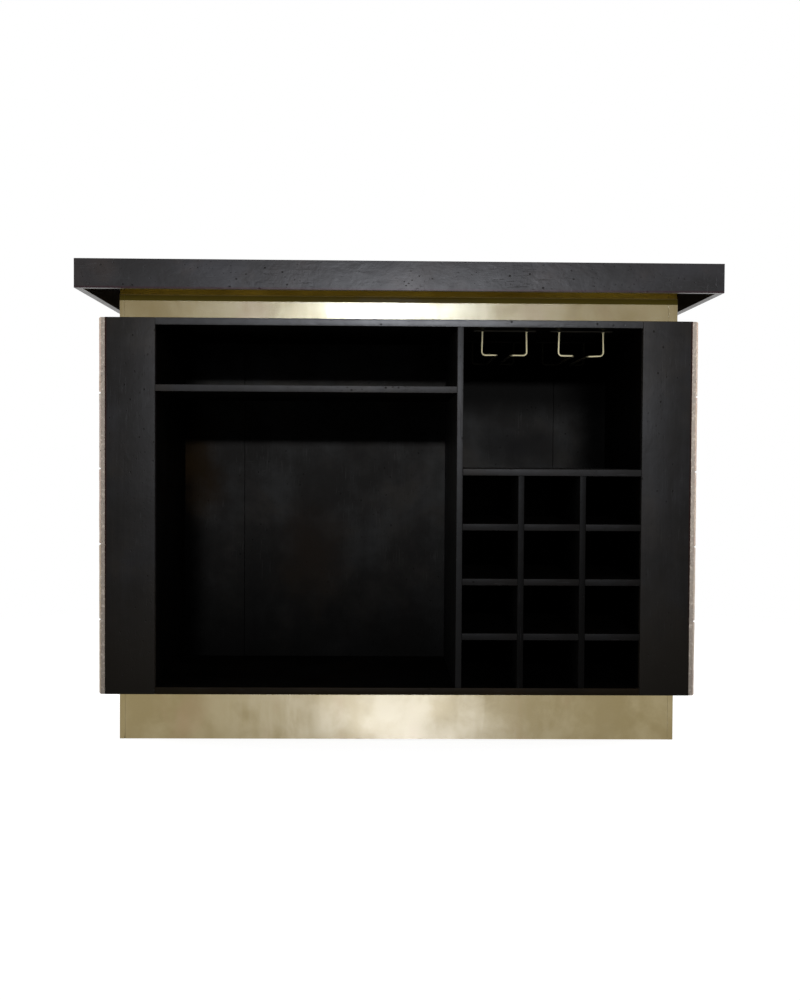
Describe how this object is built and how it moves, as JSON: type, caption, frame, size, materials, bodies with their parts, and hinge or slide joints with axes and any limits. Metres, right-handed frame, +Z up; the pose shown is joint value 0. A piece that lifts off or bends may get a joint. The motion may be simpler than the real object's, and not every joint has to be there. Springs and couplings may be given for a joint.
{
  "type": "bar cabinet",
  "caption": "Counter-height bar cabinet, open on one side, with a hollow-built wooden top, brass-clad neck and plinth, tiled ends and guest side, bottle rack and stemware racks.",
  "frame": {"origin": "middle of the footprint, on the floor under the plinth", "axes": "+X to the right along the long side as seen from the open side, +Y towards the guest side, +Z up"},
  "size_m": [1.422, 0.61, 1.067],
  "materials": {
    "stained_wood": "dark stained, satin lacquer, fine open pores",
    "shade_wood": "dark brown stain, matt",
    "hidden_wood": "unfinished board, out of sight",
    "brass_sheet": "brushed and softly patinated sheet",
    "pale_brass": "bright pale wire and plate",
    "stone_tile": "rough speckled beige stone, bevelled joints"
  },
  "bodies": {
    "root": {"top_panel": "stained_wood", "top_edge_open_side": "stained_wood", "top_edge_right_end": "stained_wood", "top_edge_guest_side": "stained_wood", "top_edge_left_end": "stained_wood", "neck_frame_guest_side": "hidden_wood", "neck_frame_open_side": "hidden_wood", "neck_frame_left_end": "hidden_wood", "neck_frame_right_end": "hidden_wood", "neck_cross_rail": "hidden_wood", "neck_sheet_open_side": "brass_sheet", "neck_sheet_guest_side": "brass_sheet", "neck_sheet_right_end": "brass_sheet", "neck_sheet_left_end": "brass_sheet", "plinth_frame_guest_side": "hidden_wood", "plinth_frame_open_side": "hidden_wood", "plinth_frame_left_end": "hidden_wood", "plinth_frame_right_end": "hidden_wood", "plinth_cross_rail": "hidden_wood", "plinth_sheet_open_side": "brass_sheet", "plinth_sheet_guest_side": "brass_sheet", "plinth_sheet_right_end": "brass_sheet", "plinth_sheet_left_end": "brass_sheet", "deck_board": "stained_wood", "base_board": "stained_wood", "stile_left": "stained_wood", "stile_right": "stained_wood", "end_wall_left": "hidden_wood", "end_wall_right": "hidden_wood", "bay_lining_left": "shade_wood", "bay_lining_right": "shade_wood", "end_web_left": "hidden_wood", "end_web_right": "hidden_wood", "guest_side_panel": "hidden_wood", "back_board_left": "shade_wood", "back_board_centre": "shade_wood", "back_board_right": "shade_wood", "centre_divider": "stained_wood", "left_bay_shelf": "stained_wood", "rack_shelf": "stained_wood", "bottle_upright_1": "stained_wood", "bottle_upright_2": "stained_wood", "bottle_shelf_1": "stained_wood", "bottle_shelf_2": "stained_wood", "bottle_shelf_3": "stained_wood", "tiles_left_end": "stone_tile", "tiles_right_end": "stone_tile", "tiles_guest_side": "stone_tile", "stemware_rack_1": "pale_brass", "stemware_rack_2": "pale_brass", "rack_screw_1": "pale_brass", "rack_screw_2": "pale_brass", "rack_screw_3": "pale_brass", "rack_screw_4": "pale_brass", "rack_screw_5": "pale_brass", "rack_screw_6": "pale_brass", "rack_screw_7": "pale_brass", "rack_screw_8": "pale_brass"}
  },
  "joints": []
}
